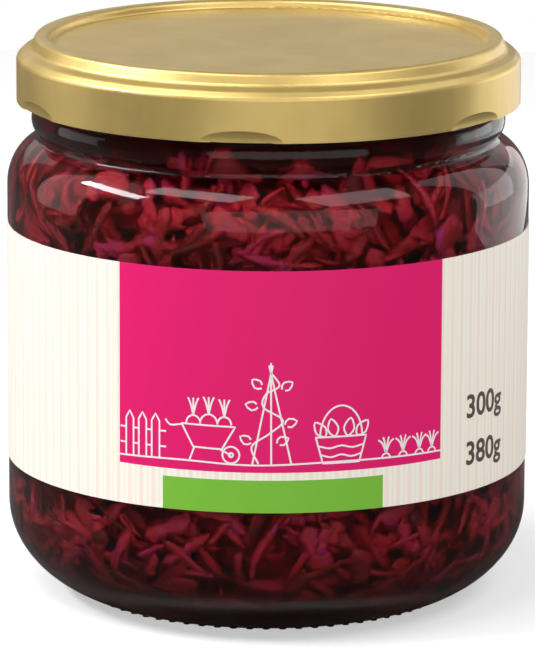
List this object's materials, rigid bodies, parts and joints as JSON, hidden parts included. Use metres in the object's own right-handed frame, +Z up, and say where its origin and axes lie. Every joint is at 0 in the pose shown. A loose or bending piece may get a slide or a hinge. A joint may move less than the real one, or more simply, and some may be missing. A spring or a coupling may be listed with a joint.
{
  "type": "jar of fermented red cabbage",
  "caption": "Squat round glass jar of shredded fermented red cabbage, closed with a gold twist-off metal lid and wrapped in a striped paper label.",
  "frame": {"origin": "centre of the ring the jar stands on, on the table", "axes": "+Z up along the jar's axis, -Y towards the label's front, +X to the viewer's right"},
  "size_m": [0.0888, 0.0886, 0.0953],
  "materials": {
    "glass_jar": "clear, fire-polished soda-lime glass",
    "lid": "satin gold lacquer on tinplate",
    "label": "coated paper, printed",
    "cabbage_filling": "wet shredded red cabbage in crimson juice"
  },
  "bodies": {
    "root": {"glass_jar": "glass_jar", "lid": "lid", "label": "label", "cabbage_filling": "cabbage_filling"}
  },
  "joints": []
}
